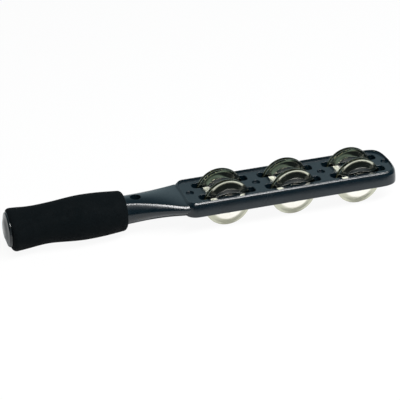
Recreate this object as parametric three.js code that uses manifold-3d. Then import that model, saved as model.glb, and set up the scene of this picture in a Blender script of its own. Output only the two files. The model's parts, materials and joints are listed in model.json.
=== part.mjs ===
// Jingle stick: a moulded stick with a foam grip at one end and six pairs of
// sheet-metal jingles, hung on three cross pins, at the other.
// Millimetres. +X runs from the butt to the tip, +Z up out of the panel, Y across.
// The origin is under the middle of the stick, at the level of the lowest jingle edge.
import * as THREE from 'three';
import { mergeVertices } from 'three/addons/utils/BufferGeometryUtils.js';
import Module from 'manifold-3d';

const wasm = await Module();
wasm.setup();

// Head: a shallow tray, panel up, walls down, with a low rim round its top edge
const headLength = 224;
const headHalfWidth = 29.3;
const headDepth = 12.4;
const panelThickness = 2.6;
const sideWall = 3.2;
const rimWidth = 4.2;
const rimHeight = 1.4;
const rimRampLength = 9;
const headEdgeRound = 1.2;
const tipRoundLength = 25;
const tipSidePull = 15;
const tipEndPull = 27.5;

// Shoulder and neck: x = 0 is where the neck runs into the head
const shoulderLength = 13;
const shoulderHalfWidth = 26.2;
const neckLength = 57.2;
const neckHalfWidth = 12.3;
const neckCrown = 6.2;
const neckEdge = 3.4;
const shoulderEdge = -0.6;
const neckBelly = 17;
const neckLean = 1;
const shoulderLean = 5;
const leanGrowth = 3;
const neckWall = 3.2;
const neckPocketLength = 37;
const widthFlare = 2.7;
const crownFall = 1.2;
const bellyFall = 1.1;
const weldLap = 5;
const seamLap = 1;
const hangHoleRadius = 5.3;
const hangHoleSetback = 45.7;

// Stations: where the jingle pairs sit, in two rows
const stationCount = 3;
const firstStation = 44.5;
const stationPitch = 69;
const rowOffset = 12.6;
const slotLength = 58;
const slotWidth = 10.8;
const slotCorner = 4;
const slotWall = 2;
const dimpleRadius = 4;
const dimpleFloor = 0.8;

// Cross pins, driven in through the left wall and ending blind in the right wall
const pinRadius = 1.5;
const pinDrop = 7.9;
const pinSeatDepth = 1.6;
const pinRecess = 0.5;

// Jingles: thin pressed discs with a flange, a raised ring and a dished hub
const jingleRadius = 24;
const jingleSheet = 0.6;
const jingleFlange = 3.6;
const jingleCrestRadius = 14.6;
const jingleDome = 2.2;
const jingleDishRadius = 10;
const jingleDishDepth = 1.5;
const jingleDishSlope = 0.8;
const jingleBrow = 0.5;
const jingleFlangeRise = 0.2;
const jingleHoleRadius = 3.5;
const pairGap = 3.4;

// Grip: a turned foam sleeve on the round tang, closed by a plug-in cap
const gripLength = 114.8;
const gripAxisDrop = 7.3;
const gripFrontRadius = 20;
const gripBulgeRadius = 22;
const gripBulgeSetback = 41;
const gripWaistRadius = 19.3;
const gripWaistSetback = 82.5;
const gripButtRadius = 21;
const gripEndRound = 4;
const tangRadius = 11;
const tangBoreRadius = 7.5;
const tangBoreDepth = 30;
const capRadius = 17;
const capThickness = 5.5;
const capRound = 4.5;
const capFaceRadius = 9;
const spigotLength = 26;

// Gaps and facets
const fitGap = 0.3;
const roundSides = 24;
const smallSides = 16;
const arcSteps = 4;
const tipSteps = 8;
const cornerSteps = 2;
const neckStations = 9;
const crownSteps = 6;
const contourSteps = 16;
const roundSegments = 2;
const cutMargin = 10;

// Where a cross pin's bore ends, inside the right wall
const pinSeat = sideWall - pinSeatDepth - headHalfWidth;

const station = (k) => firstStation + k * stationPitch;
const rows = [{ name: 'right', side: -1 }, { name: 'left', side: 1 }];

// A solid for cutting and joining, from any closed geometry
function solid(geometry) {
  const bare = geometry.clone();
  bare.deleteAttribute('normal');
  bare.deleteAttribute('uv');
  const merged = mergeVertices(bare, 1e-4);
  return new wasm.Manifold(new wasm.Mesh({
    numProp: 3,
    vertProperties: Float32Array.from(merged.attributes.position.array),
    triVerts: Uint32Array.from(merged.index.array),
  }));
}

// The geometry of a finished solid
function geometryOf(body) {
  const mesh = body.getMesh();
  const geometry = new THREE.BufferGeometry();
  geometry.setAttribute('position', new THREE.BufferAttribute(mesh.vertProperties, 3));
  geometry.setIndex(new THREE.BufferAttribute(mesh.triVerts, 1));
  geometry.computeVertexNormals();
  return geometry;
}

// A flat outline raised from zLow to zHigh, with optionally rounded edges
function prism(shape, zLow, zHigh, steps, round = 0) {
  const geometry = new THREE.ExtrudeGeometry(shape, {
    depth: zHigh - zLow - 2 * round,
    bevelEnabled: round > 0,
    bevelThickness: round,
    bevelSize: round,
    bevelOffset: -round,
    bevelSegments: roundSegments,
    curveSegments: steps,
  });
  geometry.translate(0, 0, zLow + round);
  return solid(geometry);
}

// A cylinder along Y or Z from one end to the other
function rod(axis, radius, from, to, sides) {
  const geometry = new THREE.CylinderGeometry(radius, radius, to - from, sides);
  geometry.translate(0, (from + to) / 2, 0);
  if (axis === 'z') geometry.rotateX(Math.PI / 2);
  return geometry;
}

// A turned shape along X; the profile lists [x, radius]
function turnedAlongX(profile, sides) {
  const points = profile.map(([x, radius]) => new THREE.Vector2(radius, x));
  const geometry = new THREE.LatheGeometry(points, sides);
  geometry.rotateZ(-Math.PI / 2);
  return geometry;
}

// Quarter-circle points from angle a0 to a1 round a centre, as [x, radius]
function arcPoints(cx, cr, radius, a0, a1) {
  const points = [];
  for (let i = 0; i <= arcSteps; i += 1) {
    const a = THREE.MathUtils.degToRad(THREE.MathUtils.lerp(a0, a1, i / arcSteps));
    points.push([cx + radius * Math.cos(a), cr + radius * Math.sin(a)]);
  }
  return points;
}

// Plan outline of the head, drawn in by inset, from xRear to the rounded tip
function headOutline(inset, xRear) {
  const half = headHalfWidth - inset;
  const tip = headLength - inset;
  const shoulder = shoulderHalfWidth - inset;
  const bend = headLength - tipRoundLength;
  const shape = new THREE.Shape();
  shape.moveTo(xRear, -shoulder);
  shape.lineTo(0, -shoulder);
  shape.quadraticCurveTo(shoulderLength / 2, -half, shoulderLength, -half);
  shape.lineTo(bend, -half);
  shape.bezierCurveTo(bend + tipSidePull, -half, tip, inset - tipEndPull, tip, 0);
  shape.bezierCurveTo(tip, tipEndPull - inset, bend + tipSidePull, half, bend, half);
  shape.lineTo(shoulderLength, half);
  shape.quadraticCurveTo(shoulderLength / 2, half, 0, shoulder);
  shape.lineTo(xRear, shoulder);
  shape.closePath();
  return shape;
}

// Outline of a jingle slot, or of the wall round it when grown
function slotOutline(grow) {
  const half = slotLength / 2 + grow;
  const side = slotWidth / 2 + grow;
  const corner = slotCorner + grow;
  const shape = new THREE.Shape();
  shape.absarc(half - corner, side - corner, corner, 0, Math.PI / 2);
  shape.absarc(corner - half, side - corner, corner, Math.PI / 2, Math.PI);
  shape.absarc(corner - half, corner - side, corner, Math.PI, 1.5 * Math.PI);
  shape.absarc(half - corner, corner - side, corner, 1.5 * Math.PI, 2 * Math.PI);
  return shape;
}

// Cross-section of the neck, as a closed ring of [y, z]; t runs from the grip to the shoulder
function neckRing(t, inset, floor) {
  const flare = t ** widthFlare;
  const fall = t ** crownFall;
  const half = THREE.MathUtils.lerp(neckHalfWidth, shoulderHalfWidth, flare) - inset;
  const crown = neckCrown * (1 - fall) - inset;
  const edge = THREE.MathUtils.lerp(neckEdge, shoulderEdge, fall) - inset;
  const lean = THREE.MathUtils.lerp(neckLean, shoulderLean, t ** leanGrowth);
  const belly = floor ?? THREE.MathUtils.lerp(-headDepth, -neckBelly, (1 - t) ** bellyFall);
  const foot = half - (floor === undefined ? lean : inset);
  const ring = [[-foot, belly], [foot, belly]];
  for (let i = 0; i <= crownSteps; i += 1) {
    const s = 1 - (2 * i) / crownSteps;
    ring.push([s * half, crown - (crown - edge) * s * s]);
  }
  return ring;
}

// Rings of equal count along X, skinned into one closed solid
function skin(rings) {
  const count = rings[0].points.length;
  const positions = rings.flatMap(({ x, points }) => points.flatMap(([y, z]) => [x, y, z]));
  const faces = [];
  for (let r = 0; r + 1 < rings.length; r += 1) {
    for (let i = 0; i < count; i += 1) {
      const a = r * count + i;
      const b = r * count + ((i + 1) % count);
      faces.push(a, b, a + count, b, b + count, a + count);
    }
  }
  const last = (rings.length - 1) * count;
  for (let i = 1; i + 1 < count; i += 1) {
    faces.push(0, i + 1, i);
    faces.push(last, last + i, last + i + 1);
  }
  const geometry = new THREE.BufferGeometry();
  geometry.setAttribute('position', new THREE.Float32BufferAttribute(positions, 3));
  geometry.setIndex(faces);
  return solid(geometry);
}

function neckSolid() {
  const rings = [];
  for (let i = 0; i <= neckStations; i += 1) {
    const t = i / neckStations;
    rings.push({ x: (t - 1) * neckLength, points: neckRing(t, 0) });
  }
  rings.push({ x: weldLap, points: neckRing(1, 0) });
  return skin(rings);
}

// The pocket under the neck, open downwards, which leaves the hanging hole in solid stock
function neckPocket() {
  const rings = [];
  for (let i = 0; i <= neckStations; i += 1) {
    const x = THREE.MathUtils.lerp(-neckPocketLength, 0, i / neckStations);
    const points = neckRing(1 + x / neckLength, neckWall, -neckBelly - cutMargin);
    rings.push({ x, points });
  }
  rings.push({ x: weldLap, points: neckRing(1, neckWall, -neckBelly - cutMargin) });
  return skin(rings);
}

function headTray() {
  const block = prism(headOutline(0, -seamLap), -headDepth, rimHeight, tipSteps, headEdgeRound);
  const recess = prism(headOutline(rimWidth, -cutMargin), 0, cutMargin, tipSteps);
  const ramp = new THREE.Shape();
  ramp.moveTo(-cutMargin, 0);
  ramp.lineTo(0, 0);
  ramp.lineTo(rimRampLength, rimHeight);
  ramp.lineTo(rimRampLength, cutMargin);
  ramp.lineTo(-cutMargin, cutMargin);
  const wedge = new THREE.ExtrudeGeometry(ramp, { depth: 4 * headHalfWidth, bevelEnabled: false });
  wedge.translate(0, 0, -2 * headHalfWidth);
  wedge.rotateX(Math.PI / 2);
  return block.subtract(recess).subtract(solid(wedge));
}

// The round tang inside the grip, bored from the butt for the cap's spigot
function tang() {
  const butt = -neckLength - gripLength;
  const bar = turnedAlongX([[butt, 0], [butt, tangRadius], [seamLap - neckLength, tangRadius],
    [seamLap - neckLength, 0]], roundSides);
  const bore = turnedAlongX([[butt - seamLap, 0], [butt - seamLap, tangBoreRadius],
    [butt + tangBoreDepth, tangBoreRadius], [butt + tangBoreDepth, 0]], roundSides);
  bar.translate(0, 0, -gripAxisDrop);
  bore.translate(0, 0, -gripAxisDrop);
  return { bar: solid(bar), bore: solid(bore) };
}

function slotPrism(k, side, grow, zLow, zHigh) {
  const slot = prism(slotOutline(grow), zLow, zHigh, cornerSteps);
  return slot.translate([station(k), side * rowOffset, 0]);
}

function stickBody() {
  const { bar, bore } = tang();
  const floor = -headDepth - cutMargin;
  const cavity = prism(headOutline(sideWall, -seamLap), floor, -panelThickness, tipSteps);
  let body = headTray().add(neckSolid()).add(bar);
  body = body.subtract(cavity).subtract(neckPocket()).subtract(bore);
  const hang = rod('z', hangHoleRadius, -2 * cutMargin, 2 * cutMargin, smallSides);
  hang.translate(-hangHoleSetback, 0, 0);
  body = body.subtract(solid(hang));
  for (let k = 0; k < stationCount; k += 1) {
    for (const { side } of rows) {
      body = body.add(slotPrism(k, side, slotWall, -headDepth, -panelThickness / 2));
    }
  }
  for (let k = 0; k < stationCount; k += 1) {
    for (const { side } of rows) {
      body = body.subtract(slotPrism(k, side, 0, floor, cutMargin));
    }
    const hole = rod('y', pinRadius + fitGap, pinSeat, headHalfWidth + cutMargin, smallSides);
    hole.translate(station(k), 0, -pinDrop);
    body = body.subtract(solid(hole));
  }
  for (let k = 0; k <= stationCount; k += 1) {
    const dimple = rod('z', dimpleRadius, dimpleFloor - panelThickness, cutMargin, smallSides);
    dimple.translate(station(k) - stationPitch / 2, 0, 0);
    body = body.subtract(solid(dimple));
  }
  return geometryOf(body);
}

function pinGeometry() {
  const pin = rod('y', pinRadius, pinSeat + fitGap, headHalfWidth - pinRecess, smallSides);
  return geometryOf(solid(pin));
}

// A pressed disc on the Y axis, its raised ring towards +Y
function jingleGeometry() {
  const dish = jingleDome - jingleDishDepth;
  const face = [
    [jingleHoleRadius, dish],
    [jingleDishRadius - jingleDishSlope, dish],
    [jingleDishRadius, jingleDome - jingleBrow],
    [(jingleDishRadius + jingleCrestRadius) / 2, jingleDome],
    [jingleCrestRadius, jingleDome],
    [jingleRadius - jingleFlange, jingleFlangeRise],
    [jingleRadius, 0],
  ];
  const under = face.map(([r, h]) => new THREE.Vector2(r, h));
  const top = face.map(([r, h]) => new THREE.Vector2(r, h + jingleSheet)).reverse();
  const loop = [...under, ...top, under[0].clone()];
  return geometryOf(solid(new THREE.LatheGeometry(loop, roundSides)));
}

// The foam sleeve: a bored ring with the hand's contour outside
function gripGeometry() {
  const butt = -neckLength - gripLength;
  const front = -neckLength - fitGap;
  const bore = tangRadius + fitGap;
  const contour = new THREE.SplineCurve([
    new THREE.Vector2(butt + gripEndRound, gripButtRadius),
    new THREE.Vector2(-neckLength - gripWaistSetback, gripWaistRadius),
    new THREE.Vector2(-neckLength - gripBulgeSetback, gripBulgeRadius),
    new THREE.Vector2(front - gripEndRound, gripFrontRadius),
  ]);
  const side = contour.getPoints(contourSteps).map((p) => [p.x, p.y]);
  const rear = arcPoints(butt + gripEndRound, gripButtRadius - gripEndRound, gripEndRound, 180, 90);
  const nose = arcPoints(front - gripEndRound, gripFrontRadius - gripEndRound, gripEndRound, 90, 0);
  const loop = [[butt, bore], ...rear, ...side.slice(1, -1), ...nose, [front, bore], [butt, bore]];
  const geometry = turnedAlongX(loop, roundSides);
  geometry.translate(0, 0, -gripAxisDrop);
  return geometryOf(solid(geometry));
}

// The butt cap: a rounded glossy button with a spigot that plugs the tang
function capGeometry() {
  const seat = -neckLength - gripLength - fitGap;
  const end = seat - capThickness;
  const rounded = [];
  for (let i = 0; i <= arcSteps; i += 1) {
    const a = (Math.PI / 2) * (i / arcSteps);
    const x = end + capRound * (1 - Math.sin(a));
    rounded.unshift([x, capFaceRadius + (capRadius - capFaceRadius) * Math.cos(a)]);
  }
  const spigot = tangBoreRadius - fitGap;
  const profile = [[end, 0], ...rounded, [seat, capRadius], [seat, spigot],
    [seat + spigotLength, spigot], [seat + spigotLength, 0]];
  const geometry = turnedAlongX(profile, roundSides);
  geometry.translate(0, 0, -gripAxisDrop);
  return geometryOf(solid(geometry));
}

function piece(name, geometry, color, roughness, metalness) {
  const material = new THREE.MeshStandardMaterial({ color, roughness, metalness });
  const mesh = new THREE.Mesh(geometry, material);
  mesh.name = name;
  return mesh;
}

const stick = new THREE.Group();
stick.add(piece('stick_body', stickBody(), 0x15181a, 0.4, 0));
stick.add(piece('foam_grip', gripGeometry(), 0x0b0b0c, 0.95, 0));
stick.add(piece('end_cap', capGeometry(), 0x0a0a0b, 0.12, 0));

const jingleDrop = pinDrop + jingleHoleRadius - pinRadius - fitGap;
for (let k = 0; k < stationCount; k += 1) {
  const pin = piece(`cross_pin_${k + 1}`, pinGeometry(), 0x9a9c9e, 0.35, 1);
  pin.position.set(station(k), 0, -pinDrop);
  stick.add(pin);
  for (const { name, side } of rows) {
    for (const { place, out } of [{ place: 'outer', out: 1 }, { place: 'inner', out: -1 }]) {
      const jingle = piece(`jingle_${name}_${k + 1}_${place}`, jingleGeometry(), 0xd8d5c8, 0.15, 1);
      const facing = side * out;
      jingle.position.set(station(k), side * rowOffset + (facing * pairGap) / 2, -jingleDrop);
      jingle.rotation.z = facing > 0 ? 0 : Math.PI;
      stick.add(jingle);
    }
  }
}

// Stand the stick with its middle over the origin and its lowest jingle edge on the ground
const buttEnd = -neckLength - gripLength - fitGap - capThickness;
stick.position.set(-(headLength + buttEnd) / 2, 0, jingleDrop + jingleRadius);

const assembly = new THREE.Group();
assembly.add(stick);
export default assembly;
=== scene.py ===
# %% [markdown]
# # Dressing a jingle stick
# The CAD model already holds every piece of this hand percussion stick at its real size: the moulded
# body, the foam grip, the butt cap, three cross pins and twelve pressed jingles. Blender adds what
# the eye judges: rounded moulding edges, rolled metal, foam, and the light of a small studio.
# Everything below is in metres, in the same frame as the CAD model.

# %% Load the frame
import json
import math

import bmesh
import bpy
from mathutils import Matrix, Vector
from mathutils.geometry import interpolate_bezier

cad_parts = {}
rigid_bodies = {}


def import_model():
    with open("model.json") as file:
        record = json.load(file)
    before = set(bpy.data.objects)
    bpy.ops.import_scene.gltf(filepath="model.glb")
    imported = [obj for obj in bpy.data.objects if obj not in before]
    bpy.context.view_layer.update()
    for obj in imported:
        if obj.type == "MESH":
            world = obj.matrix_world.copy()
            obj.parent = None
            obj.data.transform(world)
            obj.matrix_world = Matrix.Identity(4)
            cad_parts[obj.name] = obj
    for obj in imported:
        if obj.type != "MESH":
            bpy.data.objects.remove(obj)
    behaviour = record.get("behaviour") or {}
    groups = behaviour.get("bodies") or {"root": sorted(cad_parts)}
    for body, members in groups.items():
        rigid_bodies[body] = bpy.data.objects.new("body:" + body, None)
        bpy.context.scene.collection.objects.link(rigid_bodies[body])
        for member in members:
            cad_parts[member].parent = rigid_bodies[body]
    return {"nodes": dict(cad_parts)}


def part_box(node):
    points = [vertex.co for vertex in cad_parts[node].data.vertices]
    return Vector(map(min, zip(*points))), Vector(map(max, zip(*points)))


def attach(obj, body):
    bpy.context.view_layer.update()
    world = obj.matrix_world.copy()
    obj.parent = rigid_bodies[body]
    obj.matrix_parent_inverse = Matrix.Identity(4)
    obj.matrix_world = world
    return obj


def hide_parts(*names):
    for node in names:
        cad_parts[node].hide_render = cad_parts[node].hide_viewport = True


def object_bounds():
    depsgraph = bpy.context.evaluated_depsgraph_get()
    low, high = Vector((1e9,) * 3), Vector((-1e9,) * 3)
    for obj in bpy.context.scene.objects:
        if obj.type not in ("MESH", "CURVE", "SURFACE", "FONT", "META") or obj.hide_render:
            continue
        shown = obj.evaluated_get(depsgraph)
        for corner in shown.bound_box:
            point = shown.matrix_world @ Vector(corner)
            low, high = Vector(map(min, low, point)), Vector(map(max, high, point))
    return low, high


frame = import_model()
cad_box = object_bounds()
mm = 0.001
print("CAD box in mm:", [round(v / mm, 1) for corner in cad_box for v in corner])

# %% [markdown]
# ## Places that the CAD model decides
# A visual piece has to sit exactly where its CAD node sits, so the places are read from the nodes'
# boxes. Only the sizes that a box can't tell, such as a fillet, are written as numbers.

# %% Read the places from the frame
stick_low, stick_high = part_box("stick_body")
grip_low, grip_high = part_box("foam_grip")
cap_low, cap_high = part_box("end_cap")
jingle_names = sorted(n for n in frame["nodes"] if n.startswith("jingle_"))
pin_names = sorted(n for n in frame["nodes"] if n.startswith("cross_pin_"))

head_length = 224 * mm
neck_crown = 6.2 * mm
fit_gap = 0.3 * mm
tip_x = stick_high.x
shoulder_x = tip_x - head_length
neck_x = grip_high.x + fit_gap
panel_z = stick_high.z - neck_crown
head_half = stick_high.y
grip_axis_z = (grip_low.z + grip_high.z) / 2


def centre(node):
    low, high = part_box(node)
    return (low + high) / 2


stations = [centre(name).x for name in pin_names]
pin_z = centre(pin_names[0]).z
print("shoulder at", round(shoulder_x / mm, 1), "panel at", round(panel_z / mm, 1), "mm")
print("stations at", [round(x / mm, 1) for x in stations], "mm")

# %% [markdown]
# ## Camera
# The photograph looks along the stick from its front right and from above. The camera keeps that
# direction, with a long lens, because the far and near jingles are almost the same size.

# %% Place the camera
view_azimuth = math.radians(-17.14)
view_elevation = math.radians(28.71)
view_roll = math.radians(-0.95)
view_target = Vector((-3.5, -2.1, 25)) * mm
view_distance = 1.717
sensor = 36
focal_in_widths = 4.345

back = Vector((
    math.sin(view_azimuth) * math.cos(view_elevation),
    -math.cos(view_azimuth) * math.cos(view_elevation),
    math.sin(view_elevation),
))
camera_data = bpy.data.cameras.new("photograph_camera")
camera_data.sensor_width = sensor
camera_data.lens = focal_in_widths * sensor
camera = bpy.data.objects.new("photograph_camera", camera_data)
look = back.to_track_quat("Z", "Y").to_matrix().to_4x4()
roll = Matrix.Rotation(view_roll, 4, "Z")
camera.matrix_world = Matrix.Translation(view_target + back * view_distance) @ look @ roll
bpy.context.scene.collection.objects.link(camera)
bpy.context.scene.camera = camera
print("lens", round(camera_data.lens, 1), "mm")

# %% [markdown]
# ## Small helpers
# Most pieces here are rings joined to rings: the rim round the head, the neck, a jingle slot. A ring
# is a closed loop of vertices, and `bridge_loops` lays faces between two of them. That keeps
# every curve even and leaves the closing faces to one fill at each end.


# %% Rings and bodies
def ring(bm, points):
    """A closed loop of vertices and edges through the points."""
    verts = [bm.verts.new(point) for point in points]
    return [bm.edges.new((a, b)) for a, b in zip(verts, verts[1:] + verts[:1])]


def join_rings(bm, rings, closed=False):
    """Faces between each ring and the next, with the two ends filled or joined up."""
    pairs = list(zip(rings, rings[1:]))
    if closed:
        pairs.append((rings[-1], rings[0]))
    for first, second in pairs:
        bmesh.ops.bridge_loops(bm, edges=first + second)
    if not closed:
        bmesh.ops.edgeloop_fill(bm, edges=rings[0])
        bmesh.ops.edgeloop_fill(bm, edges=rings[-1])
    bmesh.ops.recalc_face_normals(bm, faces=bm.faces[:])


def arc(centre_u, centre_v, radius, start, stop, steps):
    """Points (u, v) on an arc between two angles in degrees."""
    angles = [math.radians(start + (stop - start) * i / steps) for i in range(steps + 1)]
    return [(centre_u + radius * math.cos(a), centre_v + radius * math.sin(a)) for a in angles]


def bezier(start, pull_start, pull_end, end, points):
    """Points (u, v) on a cubic curve between two ends with two pulls."""
    corners = [Vector((u, v, 0)) for u, v in (start, pull_start, pull_end, end)]
    return [(p.x, p.y) for p in interpolate_bezier(*corners, points)]


def smoothstep(value):
    value = min(max(value, 0), 1)
    return value * value * (3 - 2 * value)


def as_object(bm, name):
    """Turns a finished bmesh into an object that stands at the origin."""
    mesh = bpy.data.meshes.new(name)
    bm.to_mesh(mesh)
    bm.free()
    made = bpy.data.objects.new(name, mesh)
    bpy.context.scene.collection.objects.link(made)
    return made


def cut_or_join(base, tool, operation):
    """Applies one exact boolean to base and removes the tool."""
    modifier = base.modifiers.new(operation, "BOOLEAN")
    modifier.operation = operation
    modifier.solver = "EXACT"
    modifier.object = tool
    depsgraph = bpy.context.evaluated_depsgraph_get()
    result = bpy.data.meshes.new_from_object(base.evaluated_get(depsgraph))
    base.modifiers.clear()
    base.data = result
    bpy.data.objects.remove(tool)


def dress(piece, body, material, slot, *nodes, crease=30):
    """Smooth shading with creases, a material, a body to ride on and the CAD nodes it stands for."""
    piece.data.materials.clear()
    piece.data.materials.append(material)
    piece.data.polygons.foreach_set("use_smooth", [True] * len(piece.data.polygons))
    piece.data.set_sharp_from_angle(angle=math.radians(crease))
    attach(piece, body)
    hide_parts(*nodes)
    print(piece.name, "has", len(piece.data.polygons), "faces")
    return piece


# %% [markdown]
# ## Shared finishes
# Moulded plastic, foam and plated steel share four effects: a fine grain, smears from hands, worn
# edges and a little settled dust. Each is a node group with named sockets, built once and given its
# own values in each material. The groups put out heights, roughness and colours only, so the shader
# itself always stays in the material.


# %% Node helpers
def node(tree, kind, inputs=None, **settings):
    made = tree.nodes.new(kind)
    for name, value in settings.items():
        setattr(made, name, value)
    for name, value in (inputs or {}).items():
        if hasattr(value, "is_output"):
            tree.links.new(value, made.inputs[name])
        else:
            made.inputs[name].default_value = value
    return made


def new_group(name, inputs, outputs):
    """A shader node group with typed sockets, and its two end nodes."""
    tree = bpy.data.node_groups.new(name, "ShaderNodeTree")
    for label, kind, value in inputs:
        socket = tree.interface.new_socket(label, in_out="INPUT", socket_type=kind)
        socket.default_value = value
    for label, kind in outputs:
        tree.interface.new_socket(label, in_out="OUTPUT", socket_type=kind)
    return tree, tree.nodes.new("NodeGroupInput"), tree.nodes.new("NodeGroupOutput")


VECTOR, NUMBER, COLOUR = "NodeSocketVector", "NodeSocketFloat", "NodeSocketColor"
MIX_SHARE, MIX_FIRST, MIX_SECOND, MIX_RESULT = 0, 6, 7, 2


def mix_colours(tree, share, first, second, blend="MIX"):
    """A mix of two colours, each given as a value or as the output of a node."""
    made = node(tree, "ShaderNodeMix", {MIX_SHARE: share, MIX_FIRST: first, MIX_SECOND: second},
                data_type="RGBA", blend_type=blend)
    return made.outputs[MIX_RESULT]


# %% Fine grain, as left by a spark-eroded mould or by foam cells
def make_grain():
    tree, given, out = new_group(
        "fine_grain",
        [("Place", VECTOR, (0, 0, 0)), ("Cells per Metre", NUMBER, 2500), ("Pits", NUMBER, 0.4)],
        [("Height", NUMBER)],
    )
    fine = node(tree, "ShaderNodeTexNoise", {
        "Vector": given.outputs["Place"], "Scale": given.outputs["Cells per Metre"],
        "Detail": 3, "Roughness": 0.6,
    })
    pits = node(tree, "ShaderNodeTexVoronoi", {
        "Vector": given.outputs["Place"], "Scale": given.outputs["Cells per Metre"],
    })
    mixed = node(tree, "ShaderNodeMix", {
        "Factor": given.outputs["Pits"], "A": fine.outputs["Fac"], "B": pits.outputs["Distance"],
    })
    tree.links.new(mixed.outputs["Result"], out.inputs["Height"])
    return tree


# %% Smears that hands leave: roughness that drifts over the surface
def make_smears():
    tree, given, out = new_group(
        "hand_smears",
        [("Place", VECTOR, (0, 0, 0)), ("Patches per Metre", NUMBER, 40), ("Clean", NUMBER, 0.3),
         ("Smeared", NUMBER, 0.45)],
        [("Roughness", NUMBER)],
    )
    patches = node(tree, "ShaderNodeTexNoise", {
        "Vector": given.outputs["Place"], "Scale": given.outputs["Patches per Metre"],
        "Detail": 5, "Roughness": 0.65, "Distortion": 0.8,
    })
    spread = node(tree, "ShaderNodeMapRange", {
        "Value": patches.outputs["Fac"], "From Min": 0.35, "From Max": 0.65,
        "To Min": given.outputs["Clean"], "To Max": given.outputs["Smeared"],
    })
    tree.links.new(spread.outputs["Result"], out.inputs["Roughness"])
    return tree


# %% Worn edges: convex edges lose their colour first, and unevenly
def make_edge_wear():
    tree, given, out = new_group(
        "edge_wear",
        [("Place", VECTOR, (0, 0, 0)), ("Colour", COLOUR, (0, 0, 0, 1)),
         ("Worn Colour", COLOUR, (1, 1, 1, 1)), ("Amount", NUMBER, 0.3)],
        [("Colour", COLOUR)],
    )
    shape = node(tree, "ShaderNodeNewGeometry")
    edges = node(tree, "ShaderNodeMapRange", {
        "Value": shape.outputs["Pointiness"], "From Min": 0.51, "From Max": 0.6,
    })
    patches = node(tree, "ShaderNodeTexNoise", {
        "Vector": given.outputs["Place"], "Scale": 260, "Detail": 4,
    })
    broken = node(tree, "ShaderNodeMath", {0: edges.outputs["Result"], 1: patches.outputs["Fac"]},
                  operation="MULTIPLY")
    share = node(tree, "ShaderNodeMath", {0: broken.outputs[0], 1: given.outputs["Amount"]},
                 operation="MULTIPLY", use_clamp=True)
    worn = mix_colours(tree, share.outputs[0], given.outputs["Colour"], given.outputs["Worn Colour"])
    tree.links.new(worn, out.inputs["Colour"])
    return tree


# %% Dust that settles on faces that look up
def make_dust():
    tree, given, out = new_group(
        "settled_dust",
        [("Place", VECTOR, (0, 0, 0)), ("Colour", COLOUR, (0, 0, 0, 1)), ("Amount", NUMBER, 0.1)],
        [("Colour", COLOUR)],
    )
    shape = node(tree, "ShaderNodeNewGeometry")
    axes = node(tree, "ShaderNodeSeparateXYZ", {"Vector": shape.outputs["Normal"]})
    upward = node(tree, "ShaderNodeMapRange", {
        "Value": axes.outputs["Z"], "From Min": 0.3, "From Max": 1,
    })
    specks = node(tree, "ShaderNodeTexNoise", {
        "Vector": given.outputs["Place"], "Scale": 900, "Detail": 6, "Roughness": 0.75,
    })
    thin = node(tree, "ShaderNodeMapRange", {
        "Value": specks.outputs["Fac"], "From Min": 0.5, "From Max": 0.8,
    })
    lying = node(tree, "ShaderNodeMath", {0: upward.outputs["Result"], 1: thin.outputs["Result"]},
                 operation="MULTIPLY")
    share = node(tree, "ShaderNodeMath", {0: lying.outputs[0], 1: given.outputs["Amount"]},
                 operation="MULTIPLY", use_clamp=True)
    dust_colour = (0.45, 0.43, 0.4, 1)
    dusted = mix_colours(tree, share.outputs[0], given.outputs["Colour"], dust_colour)
    tree.links.new(dusted, out.inputs["Colour"])
    return tree


grain, smears, edge_wear, dust = make_grain(), make_smears(), make_edge_wear(), make_dust()
print("shared finishes:", [g.name for g in (grain, smears, edge_wear, dust)])


# %% A material with its shader, and its groups in place
def start_material(name):
    material = bpy.data.materials.new(name)
    material.use_nodes = True
    tree = material.node_tree
    shader = tree.nodes["Principled BSDF"]
    place = node(tree, "ShaderNodeTexCoord").outputs["Object"]
    return material, tree, shader, place


def placed(tree, group, inputs):
    return node(tree, "ShaderNodeGroup", inputs, node_tree=group).outputs[0]


def finish(tree, shader, place, colour, patches, clean, smeared):
    """Feeds the colour, and a roughness that drifts between clean and smeared."""
    tree.links.new(colour, shader.inputs["Base Color"])
    rough = placed(tree, smears, {
        "Place": place, "Patches per Metre": patches, "Clean": clean, "Smeared": smeared,
    })
    tree.links.new(rough, shader.inputs["Roughness"])


def raise_surface(tree, shader, height, depth):
    """Feeds a height to the shader as a bump of that depth in metres."""
    bump = node(tree, "ShaderNodeBump", {"Height": height, "Strength": 1, "Distance": depth})
    tree.links.new(bump.outputs["Normal"], shader.inputs["Normal"])


plastic_ior = 1.5


# %% Moulded plastic of the stick: satin, faintly cool black
def make_stick_plastic():
    material, tree, shader, place = start_material("moulded_black_plastic")
    tone = node(tree, "ShaderNodeTexNoise", {"Vector": place, "Scale": 55, "Detail": 4})
    base = mix_colours(tree, tone.outputs["Fac"], (0.0008, 0.0045, 0.0075, 1),
                       (0.0018, 0.0076, 0.012, 1))
    worn = placed(tree, edge_wear, {
        "Place": place, "Colour": base, "Worn Colour": (0.06, 0.08, 0.085, 1), "Amount": 0.25,
    })
    dusted = placed(tree, dust, {"Place": place, "Colour": worn, "Amount": 0.03})
    finish(tree, shader, place, dusted, patches=30, clean=0.19, smeared=0.28)
    height = placed(tree, grain, {"Place": place, "Cells per Metre": 1800, "Pits": 0.25})
    raise_surface(tree, shader, height, 0.012 * mm)
    shader.inputs["IOR"].default_value = plastic_ior
    return material


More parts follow.
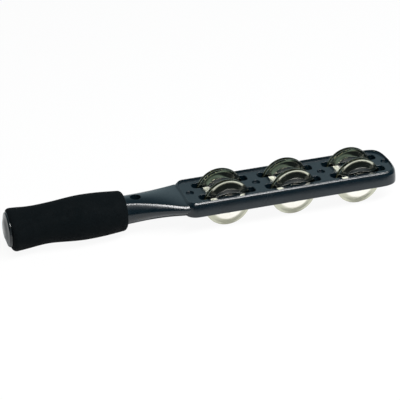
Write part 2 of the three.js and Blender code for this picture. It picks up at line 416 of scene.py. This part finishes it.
# %% Foam rubber of the grip: open pores, no shine
def make_grip_foam():
    material, tree, shader, place = start_material("black_foam_rubber")
    cells = node(tree, "ShaderNodeTexVoronoi", {"Vector": place, "Scale": 1500})
    tone = node(tree, "ShaderNodeMapRange", {
        "Value": cells.outputs["Distance"], "From Min": 0.1, "From Max": 0.7,
    })
    base = mix_colours(tree, tone.outputs["Result"], (0.0004, 0.001, 0.0013, 1),
                       (0.0015, 0.0034, 0.0044, 1))
    worn = placed(tree, edge_wear, {
        "Place": place, "Colour": base, "Worn Colour": (0.012, 0.016, 0.018, 1), "Amount": 0.2,
    })
    dusted = placed(tree, dust, {"Place": place, "Colour": worn, "Amount": 0.01})
    finish(tree, shader, place, dusted, patches=60, clean=0.8, smeared=0.95)
    height = placed(tree, grain, {"Place": place, "Cells per Metre": 1300, "Pits": 0.7})
    raise_surface(tree, shader, height, 0.25 * mm)
    shader.inputs["Specular IOR Level"].default_value = 0.08
    return material


# %% Polished plastic of the butt cap
def make_cap_plastic():
    material, tree, shader, place = start_material("polished_black_plastic")
    worn = placed(tree, edge_wear, {
        "Place": place, "Colour": (0.002, 0.0048, 0.006, 1), "Worn Colour": (0.05, 0.06, 0.065, 1),
        "Amount": 0.2,
    })
    finish(tree, shader, place, worn, patches=90, clean=0.14, smeared=0.26)
    height = placed(tree, grain, {"Place": place, "Cells per Metre": 500, "Pits": 0})
    raise_surface(tree, shader, height, 0.01 * mm)
    shader.inputs["IOR"].default_value = plastic_ior
    return material


# %% Nickel plate of the jingles, with fine circles from the press tool and painted shade on the outer band
def make_jingle_nickel():
    material, tree, shader, place = start_material("nickel_plated_steel")
    along = node(tree, "ShaderNodeUVMap", uv_map="pressed")
    split = node(tree, "ShaderNodeSeparateXYZ", {"Vector": along.outputs["UV"]})
    circles = node(tree, "ShaderNodeTexNoise", {"W": split.outputs["Y"], "Scale": 160, "Detail": 2},
                   noise_dimensions="1D")
    patina = node(tree, "ShaderNodeTexNoise", {"Vector": place, "Scale": 75, "Detail": 5,
                                               "Roughness": 0.6})
    base = mix_colours(tree, patina.outputs["Fac"], (0.95, 0.94, 0.89, 1), (0.78, 0.75, 0.66, 1))
    # Painted shade: the outer band of each face is darkened in the base colour, in place of the shaded
    # floor that this tilted band reflects
    band = node(tree, "ShaderNodeMapRange", {
        "Value": split.outputs["Y"], "From Min": 0.66, "From Max": 0.75,
    })
    painted_shade_colour = (0.58, 0.6, 0.53, 1)
    shade_painted_base = mix_colours(tree, band.outputs["Result"], base, painted_shade_colour, blend="MULTIPLY")
    finish(tree, shader, place, shade_painted_base, patches=110, clean=0.06, smeared=0.17)
    raise_surface(tree, shader, circles.outputs["Fac"], 0.01 * mm)
    shader.inputs["Metallic"].default_value = 1
    return material


# %% Drawn steel of the cross pins
def make_pin_steel():
    material, tree, shader, place = start_material("drawn_steel")
    stretch = node(tree, "ShaderNodeMapping", {"Vector": place, "Scale": (1, 0.02, 1)})
    lines = node(tree, "ShaderNodeTexNoise", {"Vector": stretch.outputs["Vector"], "Scale": 3000,
                                              "Detail": 2})
    base = mix_colours(tree, lines.outputs["Fac"], (0.42, 0.42, 0.41, 1), (0.62, 0.61, 0.59, 1))
    finish(tree, shader, place, base, patches=200, clean=0.25, smeared=0.4)
    raise_surface(tree, shader, lines.outputs["Fac"], 0.01 * mm)
    shader.inputs["Metallic"].default_value = 1
    return material


stick_plastic, grip_foam, cap_plastic = make_stick_plastic(), make_grip_foam(), make_cap_plastic()
jingle_nickel, pin_steel = make_jingle_nickel(), make_pin_steel()
print("materials:", [m.name for m in bpy.data.materials if m.use_nodes])

# %% [markdown]
# ## The stick body: head
# The head is a shallow tray turned upside down: a flat panel with a raised bead round its edge and
# walls hanging from it. One plan outline, drawn in by different amounts, gives every line that runs
# round it. So the head is a stack of such outlines, from the ceiling of the hollow, down the inside
# of the wall, round its lower edge, up the outside, over the bead and in to the panel. The bead's
# outer flank slopes at about 45 degrees, because that slope mirrors the light overhead.

# %% Sizes of the head
head_depth = 12.7 * mm
panel_thickness = 2.6 * mm
side_wall = 3.2 * mm
bead_width = 4.5 * mm
bead_height = 2 * mm
bead_ramp = 5 * mm
lower_round = 0.8 * mm
wall_draft = 0.9 * mm
flank_drop = 1.7 * mm
flank_rise = 1.1 * mm
flank_width = 1.8 * mm
crest_in = 0.9 * mm
bead_pull = 0.3 * mm
inner_round = 0.6 * mm
tip_round_length = 25 * mm
tip_side_pull = 16.5 * mm
tip_end_pull = 27.5 * mm
shoulder_length = 11 * mm
shoulder_half = 26.2 * mm
shoulder_tuck = 20 * mm
rear_lap = 1 * mm
curve_points = 22


# %% Plan outline of the head
def head_outline(inset):
    """Half outline points (x, y) from the rear to the tip, with y above zero."""
    half = head_half - inset
    tip = tip_x - inset
    bend = tip_x - tip_round_length
    side_start = shoulder_x + shoulder_length
    rear = (shoulder_x - rear_lap + inset, shoulder_tuck - inset)
    corner = (shoulder_x + inset, shoulder_half - inset)
    shoulder = bezier(rear, corner, (shoulder_x + shoulder_length / 2, half), (side_start, half),
                      curve_points)
    tip_curve = bezier((bend, half), (bend + tip_side_pull, half), (tip, tip_end_pull - inset),
                       (tip, 0), curve_points)
    return shoulder + tip_curve


def head_ring(bm, inset, height):
    """A ring round the head. Heights above the panel fade to nothing towards the neck."""
    half = head_outline(inset)
    points = []
    for x, y in half + [(x, -y) for x, y in reversed(half[:-1])]:
        ramp = smoothstep((x - shoulder_x) / bead_ramp) if height > 0 else 1
        points.append((x, y, panel_z + height * ramp))
    return ring(bm, points)


# %% Stack the outlines into the tray
def outer_profile():
    """Points (inset, height) from the wall's lower edge up the outside and over the bead."""
    top, tight = bead_height, 0.25 * flank_width
    foot = arc(lower_round, lower_round - head_depth, lower_round, 270, 180, 5)
    flank_foot = (wall_draft, -flank_drop)
    flank_top = (wall_draft + flank_width, flank_rise)
    crest = (flank_top[0] + crest_in, top)
    wall = bezier(foot[-1], (0, -0.66 * head_depth), (wall_draft / 3, -0.39 * head_depth),
                  flank_foot, 10)
    flank = bezier(flank_foot, (wall_draft + 0.1 * mm, tight - flank_drop),
                   (flank_top[0] - tight, flank_top[1] - 0.4 * tight), flank_top, 10)
    outer = bezier(flank_top, (flank_top[0] + bead_pull, flank_top[1] + bead_pull),
                   (crest[0] - bead_pull, top), crest, 5)
    inner = bezier(crest, (crest[0] + 0.4 * mm, top), (bead_width - 0.4 * mm, 0.4 * top),
                   (bead_width, 0.12 * top), 6)
    return foot + wall[1:] + flank[1:] + outer[1:] + inner[1:]


def make_tray():
    profile = [
        (side_wall + inner_round, -panel_thickness),
        (side_wall + inner_round / 4, -panel_thickness - inner_round / 4),
        (side_wall, -panel_thickness - inner_round),
        (side_wall, -head_depth + inner_round / 2),
        (side_wall - inner_round / 2, -head_depth),
        *outer_profile(),
        (bead_width + inner_round, 0),
    ]
    bm = bmesh.new()
    join_rings(bm, [head_ring(bm, inset, height) for inset, height in profile])
    return as_object(bm, "tray")


tray = make_tray()
print("tray has", len(tray.data.vertices), "vertices")

# %% [markdown]
# ## The stick body: neck
# The neck swells from a narrow, crowned bar at the grip into the full width of the head. Its sections
# are alike: a low crown, a soft edge that catches the light, a leaning side and a flat belly.
# They are bridged one after another along the stick.

# %% Sizes of the neck
neck_length = shoulder_x - neck_x
neck_half = 13 * mm
neck_shoulder_half = 26.2 * mm
neck_edge = 2 * mm
shoulder_edge = -0.9 * mm
neck_belly = 17.3 * mm
neck_barrel, shoulder_barrel = 2.2 * mm, 0.3 * mm
neck_foot, shoulder_foot = 11.3 * mm, 21.2 * mm
neck_edge_round, shoulder_edge_round = 4.4 * mm, 3 * mm
belly_round = 1 * mm
pocket_lean = 1.6
neck_sections = 28
neck_dive = 3 * mm
neck_sink = 0.25 * mm
# How late each size changes from the grip end to the shoulder: 1 is even, more is later
half_power, crown_power, edge_power, foot_power, belly_power = 1.5, 1.7, 1.2, 2.7, 0.8


def blend(start, end, share):
    return start + (end - start) * share


# %% One section of the neck
def neck_section(t, inset=0, floor=None):
    """Half a section at share t of the neck, as (y, z) from mid crown to mid belly.

    With a floor the section is the pocket's: straight sides down to that height.
    """
    half = blend(neck_half, neck_shoulder_half, t ** half_power) - inset
    crown = neck_crown * (1 - t ** crown_power) - inset
    edge = blend(neck_edge, shoulder_edge, t ** edge_power) - inset
    lean = half + inset - blend(neck_foot, shoulder_foot, t ** foot_power)
    belly = blend(-head_depth, -neck_belly, (1 - t) ** belly_power) if floor is None else floor
    foot = half - (lean if floor is None else pocket_lean * lean)
    edge_round = blend(neck_edge_round, shoulder_edge_round, t)
    shelf = half - edge_round
    top = [(shelf * i / 8, crown - (crown - edge) * (shelf * i / 8 / half) ** 2) for i in range(8)]
    shelf_z = crown - (crown - edge) * (shelf / half) ** 2
    barrel = blend(neck_barrel, shoulder_barrel, t)
    depth = edge - belly
    side_start = (half, edge - edge_round)
    tight = 0.2 * edge_round
    soft_edge = bezier((shelf, shelf_z), (shelf + tight, shelf_z - 0.1 * tight),
                       (half - 0.1 * tight, side_start[1] + tight), side_start, 9)
    side_end = (foot, belly + belly_round)
    side = [side_start, side_end]
    if floor is None:
        side = bezier(side_start, (half + barrel, edge - 0.4 * depth),
                      (half + barrel, edge - 0.62 * depth), side_end, 10)
    soft_foot = bezier(side_end, (foot, belly), (foot, belly), (foot - belly_round, belly), 6)
    return top + soft_edge + side[1:] + soft_foot[1:] + [(foot / 2, belly), (0, belly)]


def section_ring(bm, x, section):
    loop = section + [(-y, z) for y, z in reversed(section[1:-1])]
    return ring(bm, [(x, y, panel_z + z) for y, z in loop])


# %% Bridge the sections into the neck
def make_neck():
    bm = bmesh.new()
    rings = []
    for i in range(neck_sections + 1):
        t = i / neck_sections
        rings.append(section_ring(bm, blend(neck_x, shoulder_x, t), neck_section(t)))
    sunk = [(y, z - neck_sink) for y, z in neck_section(1)]
    rings.append(section_ring(bm, shoulder_x + neck_dive, sunk))
    join_rings(bm, rings)
    return as_object(bm, "neck")


cut_or_join(tray, make_neck(), "UNION")
print("tray and neck have", len(tray.data.vertices), "vertices")

# %% [markdown]
# ## The stick body: slots, dimples and hollows
# Moulded openings never have knife edges, so each cutter flares at the top: a short quarter circle
# that becomes the rounded lip. The slots have walls of their own under the panel, so those are joined
# on first and the slots cut through them. The dimples between the stations stop short of the
# panel's underside.

# %% Sizes of the slots, dimples and hanging hole
row_offset = 12.6 * mm
slot_length = 58 * mm
slot_width = 10.8 * mm
slot_corner = 4 * mm
slot_wall = 2 * mm
lip_round, lip_steps = 0.5 * mm, 6
circle_sides = 48
dimple_radius = 4 * mm
dimple_floor = 0.8 * mm
hang_hole_radius = 5.3 * mm
hang_hole_setback = 45.7 * mm
pitch = stations[1] - stations[0]
through = 30 * mm


def slot_outline(x, y, grow):
    """Points round a slot centred on (x, y), grown by that much."""
    half = slot_length / 2 - slot_corner
    side = slot_width / 2 - slot_corner
    radius = slot_corner + grow
    quarters = [(half, side, 0), (-half, side, 90), (-half, -side, 180), (half, -side, 270)]
    return [(x + u, y + v) for cu, cv, a in quarters for u, v in arc(cu, cv, radius, a, a + 90, 8)]


def circle_outline(x, y, radius):
    return arc(x, y, radius, 0, 360, circle_sides)[:-1]


# %% A cutter that flares into a rounded lip at the top and the bottom
def add_cutter(bm, outline, top, bottom, blind=False):
    """Joins rings of outline(grow) upwards, flared at the top, and at the bottom unless blind."""
    angles = [math.radians(90 * i / lip_steps) for i in range(lip_steps + 1)]
    upper = [(lip_round * (1 - math.cos(a)), top - lip_round * (1 - math.sin(a))) for a in angles]
    lower = [(grow, top + bottom - z) for grow, z in reversed(upper)]
    start = [(-lip_round, bottom), (-lip_round / 4, bottom + lip_round / 4), (0, bottom + lip_round)]
    foot = start if blind else [(lip_round, bottom - through), *lower]
    steps = [*foot, *upper, (lip_round, top + through)]
    join_rings(bm, [ring(bm, [(x, y, z) for x, y in outline(grow)]) for grow, z in steps])


slots = [(x, side * row_offset) for x in stations for side in (-1, 1)]
dimples = [stations[0] + pitch * (k - 0.5) for k in range(len(stations) + 1)]


def make_slot_walls():
    bm = bmesh.new()
    for x, y in slots:
        outline = slot_outline(x, y, slot_wall)
        levels = (panel_z - head_depth, panel_z - panel_thickness / 2)
        join_rings(bm, [ring(bm, [(u, v, z) for u, v in outline]) for z in levels])
    return as_object(bm, "slot_walls")


def make_slot_cutters():
    bm = bmesh.new()
    for x, y in slots:
        add_cutter(bm, lambda grow: slot_outline(x, y, grow), panel_z, panel_z - head_depth)
    for x in dimples:
        add_cutter(bm, lambda grow: circle_outline(x, 0, dimple_radius + grow), panel_z,
                   panel_z - panel_thickness + dimple_floor, blind=True)
    return as_object(bm, "slot_cutters")


cut_or_join(tray, make_slot_walls(), "UNION")
cut_or_join(tray, make_slot_cutters(), "DIFFERENCE")
print("with slots and dimples:", len(tray.data.vertices), "vertices")

# %% The pocket under the neck, the hanging hole, the pin bores and the tang
neck_pocket_length = 37 * mm
pocket_overcut = 10 * mm
neck_wall = 3.2 * mm
pin_radius = 1.5 * mm
pin_bore_radius = pin_radius + fit_gap
pin_seat_depth = 1.6 * mm
tang_radius = 11 * mm
tang_bore_radius = 7.5 * mm
tang_bore_depth = 30 * mm


def make_neck_pocket():
    bm = bmesh.new()
    start = shoulder_x - neck_pocket_length
    floor = -neck_belly - pocket_overcut
    xs = [blend(start, shoulder_x, i / 12) for i in range(13)] + [shoulder_x + neck_dive + 1 * mm]
    shares = [(min(x, shoulder_x) - neck_x) / neck_length for x in xs]
    join_rings(bm, [section_ring(bm, x, neck_section(t, neck_wall, floor)) for x, t in zip(xs, shares)])
    return as_object(bm, "neck_pocket")


def hang_lip(grow):
    return circle_outline(shoulder_x - hang_hole_setback, 0, hang_hole_radius + grow)


def hang_hole_top():
    """Height of the crown where the hanging hole comes up through it."""
    t = 1 - hang_hole_setback / neck_length
    return panel_z + neck_section(t)[2][1]


def make_hang_cutter():
    bm = bmesh.new()
    add_cutter(bm, hang_lip, hang_hole_top(), panel_z - neck_belly)
    return as_object(bm, "hang_cutter")


def rod(bm, radius, start, end, sides=circle_sides):
    """A closed cylinder from start to end."""
    span = end - start
    turn = span.to_track_quat("Z", "Y").to_matrix().to_4x4()
    place = Matrix.Translation((start + end) / 2) @ turn
    made = bmesh.ops.create_cone(bm, cap_ends=True, segments=sides, radius1=radius, radius2=radius,
                                 depth=span.length, matrix=place)
    return made["verts"]


def make_pin_bores():
    bm = bmesh.new()
    for x in stations:
        seat = side_wall - pin_seat_depth - head_half
        end = Vector((x, head_half + through, pin_z))
        rod(bm, pin_bore_radius, Vector((x, seat, pin_z)), end, sides=32)
    return as_object(bm, "pin_bores")


def make_tang(radius, start, end):
    bm = bmesh.new()
    rod(bm, radius, Vector((start, 0, grip_axis_z)), Vector((end, 0, grip_axis_z)))
    return as_object(bm, "tang")


cut_or_join(tray, make_neck_pocket(), "DIFFERENCE")
cut_or_join(tray, make_hang_cutter(), "DIFFERENCE")
cut_or_join(tray, make_pin_bores(), "DIFFERENCE")
cut_or_join(tray, make_tang(tang_radius, stick_low.x, neck_x + 1 * mm), "UNION")
cut_or_join(tray, make_tang(tang_bore_radius, stick_low.x - 1 * mm, stick_low.x + tang_bore_depth),
            "DIFFERENCE")
print("finished body:", len(tray.data.vertices), "vertices")

# %% Finish the stick body
tray.name = "moulded_stick"
dress(tray, "stick", stick_plastic, "stick_plastic", "stick_body", crease=35)
even = tray.modifiers.new("even_normals", "WEIGHTED_NORMAL")
even.keep_sharp = True

# %% [markdown]
# ## The foam grip
# The sleeve is turned: a waist behind the middle, a bulge under the fingers, and soft ends. Only half
# of its outline is drawn, and a full spin about the grip's axis makes the body. The foam hangs a
# little at the butt, so its outer skin is lowered there by a smooth shift.

# %% Outline of the grip
grip_bore = 11.3 * mm
grip_butt_radius, grip_waist_radius = 21.3 * mm, 19.6 * mm
grip_bulge_radius, grip_front_radius = 22.2 * mm, 20 * mm
grip_end_round = 4.5 * mm
grip_lip = 0.6 * mm
grip_pull = 14 * mm
grip_waist_x = shoulder_x - 140 * mm
grip_bulge_x = shoulder_x - 98.5 * mm
grip_droop, droop_lead, droop_length = 1.1 * mm, 8 * mm, 26 * mm
grip_creep, creep_width, creep_length = 2 * mm, 2 * mm, 12 * mm
cap_flange_radius = 17.6 * mm
turned_sides = 112


def grip_profile():
    """Closed loop of (x, radius)."""
    butt, front, round_ = grip_low.x, grip_high.x, grip_end_round
    start = (butt + round_, grip_butt_radius)
    waist, bulge = (grip_waist_x, grip_waist_radius), (grip_bulge_x, grip_bulge_radius)
    end = (front - round_, grip_front_radius)
    pull, lip = grip_pull, grip_lip
    rear_side = bezier(start, (start[0] + pull * 0.6, start[1] - 0.5 * mm),
                       (waist[0] - pull * 0.8, waist[1]), waist, 14)
    mid_side = bezier(waist, (waist[0] + pull, waist[1]), (bulge[0] - pull, bulge[1]), bulge, 16)
    front_side = bezier(bulge, (bulge[0] + pull, bulge[1]),
                        (end[0] - pull * 0.8, end[1] + 1.1 * mm), end, 16)
    rear_end = arc(butt + round_, grip_butt_radius - round_, round_, 180, 90, 8)
    front_end = arc(front - round_, grip_front_radius - round_, round_, 85, 0, 8)
    return [(butt + lip, grip_bore), (butt, grip_bore + lip), *rear_end, *rear_side[1:],
            *mid_side[1:], *front_side[1:], *front_end, (front, grip_bore + lip),
            (front - lip, grip_bore)]


# %% Turn a profile about an axis along X
def turned(name, profile, axis_z, sides, closed):
    """Spins (x, radius) points about the line y = 0, z = axis_z."""
    bm = bmesh.new()
    verts = [bm.verts.new((x, 0, axis_z + radius)) for x, radius in profile]
    edges = [bm.edges.new(pair) for pair in zip(verts, verts[1:])]
    if closed:
        edges.append(bm.edges.new((verts[-1], verts[0])))
    bmesh.ops.spin(bm, geom=verts + edges, cent=(0, 0, axis_z), axis=(1, 0, 0), angle=math.tau,
                   steps=sides, use_merge=True)
    bmesh.ops.remove_doubles(bm, verts=bm.verts[:], dist=1e-6)
    bmesh.ops.recalc_face_normals(bm, faces=bm.faces[:])
    return as_object(bm, name)


def lower_the_skin(piece):
    """Lets the outer skin droop at the butt and creep over the cap, and leaves the bore on its axis."""
    for vert in piece.data.vertices:
        out = math.hypot(vert.co.y, vert.co.z - grip_axis_z)
        share = smoothstep((grip_waist_x + droop_lead - vert.co.x) / droop_length)
        skin = min(max((out - grip_bore) / (grip_waist_radius - grip_bore), 0), 1)
        upward = smoothstep((vert.co.z - grip_axis_z) / grip_butt_radius)
        collar = smoothstep((out - cap_flange_radius) / creep_width)
        near_butt = smoothstep((grip_low.x + creep_length - vert.co.x) / creep_length)
        vert.co.x -= grip_creep * upward * collar * near_butt
        vert.co.z -= grip_droop * share * skin


grip = turned("foam_sleeve", grip_profile(), grip_axis_z, turned_sides, closed=True)
lower_the_skin(grip)
dress(grip, "stick", grip_foam, "grip_foam", "foam_grip", crease=60)

# %% [markdown]
# ## The butt cap
# The cap is a polished button. Its face is nearly flat, its shoulder is round, and a thin flange
# lies against the foam, which gives the bright line there. A spigot behind it plugs the tang.

# %% Turn the cap
cap_radius = 17 * mm
cap_flange = 1.1 * mm
cap_shoulder = 5.5 * mm
cap_crown = 1.7 * mm
spigot_radius = tang_bore_radius - fit_gap


def cap_profile():
    """Open line of (x, radius) that starts and ends on the axis."""
    end, seat = cap_low.x, grip_low.x - fit_gap
    lip = 0.35 * mm
    face_edge = cap_radius - cap_shoulder
    face = bezier((end, 0), (end, face_edge * 0.6), (end + cap_crown * 0.5, face_edge * 0.8),
                  (end + cap_crown, face_edge), 10)
    waist = (seat - cap_flange - lip, cap_radius)
    shoulder = bezier((end + cap_crown, face_edge), (end + cap_crown * 1.8, face_edge + 3.6 * mm),
                      (waist[0] - 1.6 * mm, cap_radius - 0.1 * mm), waist, 12)
    flange = seat - cap_flange
    return [
        *face, *shoulder[1:],
        (flange - lip / 2, cap_radius + lip / 3),
        (flange, cap_flange_radius - lip / 2),
        (flange + lip / 2, cap_flange_radius),
        (seat - lip / 2, cap_flange_radius),
        (seat, cap_flange_radius - lip / 2),
        (seat, spigot_radius),
        (cap_high.x - lip, spigot_radius),
        (cap_high.x, spigot_radius - lip),
        (cap_high.x, 0),
    ]


cap = turned("butt_cap", cap_profile(), grip_axis_z, turned_sides, closed=False)
dress(cap, "stick", cap_plastic, "cap_plastic", "end_cap", crease=40)

# %% [markdown]
# ## The cross pins
# A pin is cut from drawn wire, so its ends have a small chamfer from the cutting tool. Bevel on the
# two end loops of a cylinder gives that.

# %% Make the pins
pin_chamfer = 0.35 * mm
same_end = 1e-6


def make_pin(name):
    low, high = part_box(name)
    middle = (low + high) / 2
    radius = (high.x - low.x) / 2
    bm = bmesh.new()
    rod(bm, radius, Vector((middle.x, low.y, middle.z)), Vector((middle.x, high.y, middle.z)), sides=40)
    ends = [e for e in bm.edges if abs(e.verts[0].co.y - e.verts[1].co.y) < same_end]
    bmesh.ops.bevel(bm, geom=ends, affect="EDGES", offset=pin_chamfer, segments=3, profile=0.5,
                    material=-1)
    bmesh.ops.recalc_face_normals(bm, faces=bm.faces[:])
    piece = as_object(bm, name.replace("cross_pin", "steel_pin"))
    return dress(piece, "stick", pin_steel, "pin_steel", name, crease=50)


for pin_name in pin_names:
    make_pin(pin_name)

# %% [markdown]
# ## The jingles
# A jingle is pressed from thin sheet: a flat flange, a steep step up to a rounded ring, and a dish
# that falls back to the hole. The same line, drawn twice one sheet apart and spun about the jingle's
# axis, gives both faces. A UV map holds the way round and the way out, so the fine press marks and
# the painted shade on the outer band can run in circles on every jingle wherever it hangs.

# %% Section of a jingle
sheet = 0.6 * mm
hole_radius = 3.5 * mm
flange_start, cone_top = 21.1 * mm, 16.6 * mm
brow_in = 11.6 * mm
dish_start, dish_floor = 9.2 * mm, 7.6 * mm
dome, dish_height = 2.2 * mm, 0.7 * mm
jingle_sides = 96
edge_out, edge_up = 0.05 * mm, 0.15 * mm
uv_radius = 24 * mm


def jingle_line(radius_out):
    """Points (radius, height) of one face from the hole to the edge."""
    foot, shoulder = (flange_start, 0.3 * mm), (cone_top, dome - 0.1 * mm)
    brow, rim = (brow_in, dome - 0.55 * mm), (dish_start, dish_height + 0.35 * mm)
    floor = (dish_floor, dish_height)
    flange = bezier((radius_out, 0), (radius_out - 1.2 * mm, 0),
                    (flange_start + 0.6 * mm, 0.02 * mm), foot, 7)
    cone = bezier(foot, (flange_start - 0.6 * mm, 0.6 * mm),
                  (cone_top + 1.6 * mm, dome - 0.75 * mm), shoulder, 9)
    plateau = bezier(shoulder, (cone_top - 0.6 * mm, dome + 0.05 * mm),
                     (brow_in + 1.4 * mm, brow[1] + 0.15 * mm), brow, 9)
    slope = bezier(brow, (brow_in - 0.9 * mm, brow[1] - 0.1 * mm),
                   (dish_start + 0.7 * mm, rim[1] + 0.35 * mm), rim, 6)
    dish = bezier(rim, (dish_start - 0.5 * mm, dish_height + 0.15 * mm),
                  (dish_floor + 0.5 * mm, dish_height), floor, 5)
    line = flange + cone[1:] + plateau[1:] + slope[1:] + dish[1:]
    line.append((hole_radius, dish_height))
    return line[::-1]


# %% Spin a jingle about its own axis
def make_jingle(name):
    low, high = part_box(name)
    radius_out = (high.x - low.x) / 2
    axis = Vector((low.x + radius_out, 0, low.z + radius_out))
    row = -1 if "right" in name else 1
    facing = row if name.endswith("outer") else -row
    seat = low.y if facing > 0 else high.y
    line = jingle_line(radius_out - edge_out)
    front_face = [(r, h + sheet) for r, h in line]
    edge = [(radius_out, edge_up), (radius_out, sheet - edge_up)]
    bore = hole_radius - edge_out
    rim = [(bore, dish_height + sheet - edge_up), (bore, dish_height + edge_up)]
    loop = line + edge + front_face[::-1] + rim
    bm = bmesh.new()
    verts = [bm.verts.new((axis.x, seat + facing * h, axis.z + r)) for r, h in loop]
    edges = [bm.edges.new(pair) for pair in zip(verts, verts[1:] + verts[:1])]
    bmesh.ops.spin(bm, geom=verts + edges, cent=axis, axis=(0, 1, 0), angle=math.tau,
                   steps=jingle_sides, use_merge=True)
    bmesh.ops.recalc_face_normals(bm, faces=bm.faces[:])
    map_circles(bm, axis)
    piece = as_object(bm, name.replace("jingle", "pressed_jingle"))
    return dress(piece, name, jingle_nickel, "jingle_nickel", name, crease=50)


def map_circles(bm, axis):
    """Writes the way round, as a share of a turn, and the way out, in radii, to a UV map."""
    layer = bm.loops.layers.uv.new("pressed")
    for face in bm.faces:
        for loop in face.loops:
            across = loop.vert.co - axis
            way_out = math.hypot(across.x, across.z)
            way_round = math.atan2(across.z, across.x) / math.tau + 0.5
            loop[layer].uv = (way_round, way_out / uv_radius)


for jingle_name in jingle_names:
    make_jingle(jingle_name)

# %% [markdown]
# ## Floor and studio light
# The photograph is a cut-out on white. The floor is pale, and it is brightened only for the camera
# and for reflections, so it reads as white and still keeps a soft shadow. The light is one long strip
# overhead at the front, and the room is paler behind the stick than in front of it. A black flag lies
# on the floor further out, where only reflections see it, so the tops of the walls turn dark.
# Polished metal and black plastic need such differences to show a shape.


# %% Sizes of the studio
floor_white, mirrored_white = 0.93, 0.08
floor_radius = 6
floor_gap = 0.4 * mm
flag_edge, flag_height = -118 * mm, 2 * mm
flag_width, flag_depth = 2.4, 1.4


# %% Floor: paper for the light, whiter for the camera, and clear from below
def make_floor():
    bm = bmesh.new()
    bmesh.ops.create_circle(bm, cap_ends=True, segments=64, radius=floor_radius)
    bmesh.ops.translate(bm, verts=bm.verts[:], vec=(0, 0, cad_box[0].z - floor_gap))
    floor = as_object(bm, "studio_floor")
    material = bpy.data.materials.new("studio_floor")
    material.use_nodes = True
    tree = material.node_tree
    tree.nodes.clear()
    paper = node(tree, "ShaderNodeBsdfDiffuse", {"Color": (0.8, 0.8, 0.8, 1)})
    white = node(tree, "ShaderNodeEmission", {"Color": (1, 1, 1, 1), "Strength": 1})
    rays = node(tree, "ShaderNodeLightPath")
    seen = node(tree, "ShaderNodeMath", {0: rays.outputs["Is Camera Ray"], 1: floor_white},
                operation="MULTIPLY")
    share = node(tree, "ShaderNodeMath", {0: rays.outputs["Is Glossy Ray"], 1: mirrored_white,
                                          2: seen.outputs[0]}, operation="MULTIPLY_ADD")
    lit = node(tree, "ShaderNodeMixShader", {0: share.outputs[0], 1: paper.outputs[0],
                                             2: white.outputs[0]})
    shape = node(tree, "ShaderNodeNewGeometry")
    clear = node(tree, "ShaderNodeBsdfTransparent")
    surface = node(tree, "ShaderNodeMixShader", {0: shape.outputs["Backfacing"], 1: lit.outputs[0],
                                                 2: clear.outputs[0]})
    out = node(tree, "ShaderNodeOutputMaterial")
    tree.links.new(surface.outputs[0], out.inputs["Surface"])
    floor.data.materials.append(material)


make_floor()


# %% Black flag: lies in front of the stick, and only reflections see it
def make_flag():
    bm = bmesh.new()
    bmesh.ops.create_grid(bm, x_segments=1, y_segments=1, size=0.5)
    bmesh.ops.scale(bm, verts=bm.verts[:], vec=(flag_width, flag_depth, 1))
    bmesh.ops.translate(bm, verts=bm.verts[:], vec=(0, flag_edge - flag_depth / 2, flag_height))
    flag = as_object(bm, "black_flag")
    material = bpy.data.materials.new("black_flag")
    material.use_nodes = True
    cloth = material.node_tree.nodes["Principled BSDF"]
    cloth.inputs["Base Color"].default_value = (0.02, 0.02, 0.02, 1)
    cloth.inputs["Roughness"].default_value = 1
    flag.data.materials.append(material)
    flag.visible_camera = False
    flag.visible_diffuse = False
    flag.visible_shadow = False


make_flag()


# %% Room seen in reflections, and white behind the stick for the camera
def make_room():
    world = bpy.data.worlds.new("studio_room")
    world.use_nodes = True
    bpy.context.scene.world = world
    tree = world.node_tree
    tree.nodes.clear()
    way = node(tree, "ShaderNodeTexCoord").outputs["Generated"]
    axes = node(tree, "ShaderNodeSeparateXYZ", {"Vector": way})
    behind = node(tree, "ShaderNodeMapRange", {
        "Value": axes.outputs["Y"], "From Min": -0.3, "From Max": 0.75, "To Min": 0.02, "To Max": 0.6,
    })
    height = node(tree, "ShaderNodeMapRange", {
        "Value": axes.outputs["Z"], "From Min": 0.45, "From Max": 0.85, "To Min": 1, "To Max": 0.3,
    })
    glow = node(tree, "ShaderNodeMath", {0: behind.outputs["Result"], 1: height.outputs["Result"]},
                operation="MULTIPLY")
    room = node(tree, "ShaderNodeBackground", {"Color": (0.7, 0.92, 1, 1), "Strength": glow.outputs[0]})
    white = node(tree, "ShaderNodeBackground", {"Color": (1, 1, 1, 1), "Strength": 1})
    rays = node(tree, "ShaderNodeLightPath")
    surface = node(tree, "ShaderNodeMixShader", {0: rays.outputs["Is Camera Ray"], 1: room.outputs[0],
                                                 2: white.outputs[0]})
    out = node(tree, "ShaderNodeOutputWorld")
    tree.links.new(surface.outputs[0], out.inputs["Surface"])


make_room()


# %% Strip light
def softbox(name, place, target, width, depth, power):
    data = bpy.data.lights.new(name, "AREA")
    data.shape = "RECTANGLE"
    data.size, data.size_y = width, depth
    data.energy = power
    lamp = bpy.data.objects.new(name, data)
    turn = (Vector(place) - Vector(target)).to_track_quat("Z", "Y").to_matrix().to_4x4()
    lamp.matrix_world = Matrix.Translation(Vector(place)) @ turn
    bpy.context.scene.collection.objects.link(lamp)


softbox("overhead_strip", place=(0.32, -0.72, 1.25), target=(0.02, 0, 0.03), width=1.7, depth=0.24,
        power=40)
bpy.context.scene.view_settings.view_transform = "Standard"
print("lights:", [light.name for light in bpy.data.lights])
